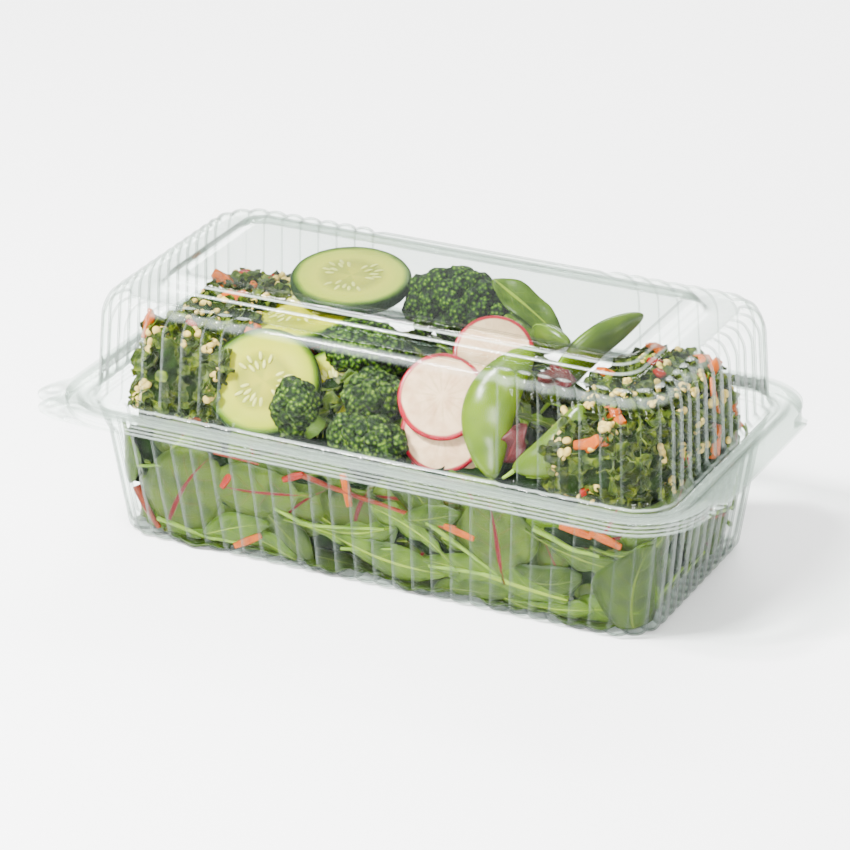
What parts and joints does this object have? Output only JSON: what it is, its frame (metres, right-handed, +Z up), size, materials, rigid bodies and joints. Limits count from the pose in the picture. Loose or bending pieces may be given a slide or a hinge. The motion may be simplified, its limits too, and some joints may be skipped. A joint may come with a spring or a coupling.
{
  "type": "takeaway meal container",
  "caption": "Clear hinged box of thin fluted plastic with a raised lid panel and a finger tab, closed over a mixed salad.",
  "frame": {"origin": "on the table under the middle of the box", "axes": "+X along the box towards the hinge, +Y across it to the back, +Z up"},
  "size_m": [0.2308, 0.1213, 0.0882],
  "materials": {
    "clear_plastic": "clear, glossy, thin thermoformed sheet",
    "greens": "fresh leaves, satin",
    "grain_salad": "chopped kale with grains and carrot, moist",
    "cucumber": "moist cut face, dark green rind",
    "radish": "moist cut face, crimson skin",
    "pea_pod": "smooth, satin",
    "broccoli": "matte buds, pale green stem"
  },
  "bodies": {
    "tray": {"tray": "clear_plastic", "greens_bed": "greens", "grain_salad_left": "grain_salad", "grain_salad_right": "grain_salad", "cucumber_slice_1": "cucumber", "cucumber_slice_2": "cucumber", "cucumber_slice_3": "cucumber", "cucumber_slice_4": "cucumber", "radish_slice_1": "radish", "radish_slice_2": "radish", "radish_slice_3": "radish", "radish_slice_4": "radish", "pea_pod_1": "pea_pod", "pea_pod_2": "pea_pod", "pea_pod_3": "pea_pod", "pea_pod_4": "pea_pod", "broccoli_floret_1": "broccoli", "broccoli_floret_2": "broccoli", "broccoli_floret_3": "broccoli", "broccoli_floret_4": "broccoli", "broccoli_floret_5": "broccoli"},
    "lid": {"lid": "clear_plastic"}
  },
  "joints": [
    {"name": "lid_hinge", "type": "hinge", "parent": "tray", "child": "lid", "pos_m": [0.1159, 0, 0.0487], "axis": [0, 1, 0], "range_deg": [0, 180]}
  ]
}
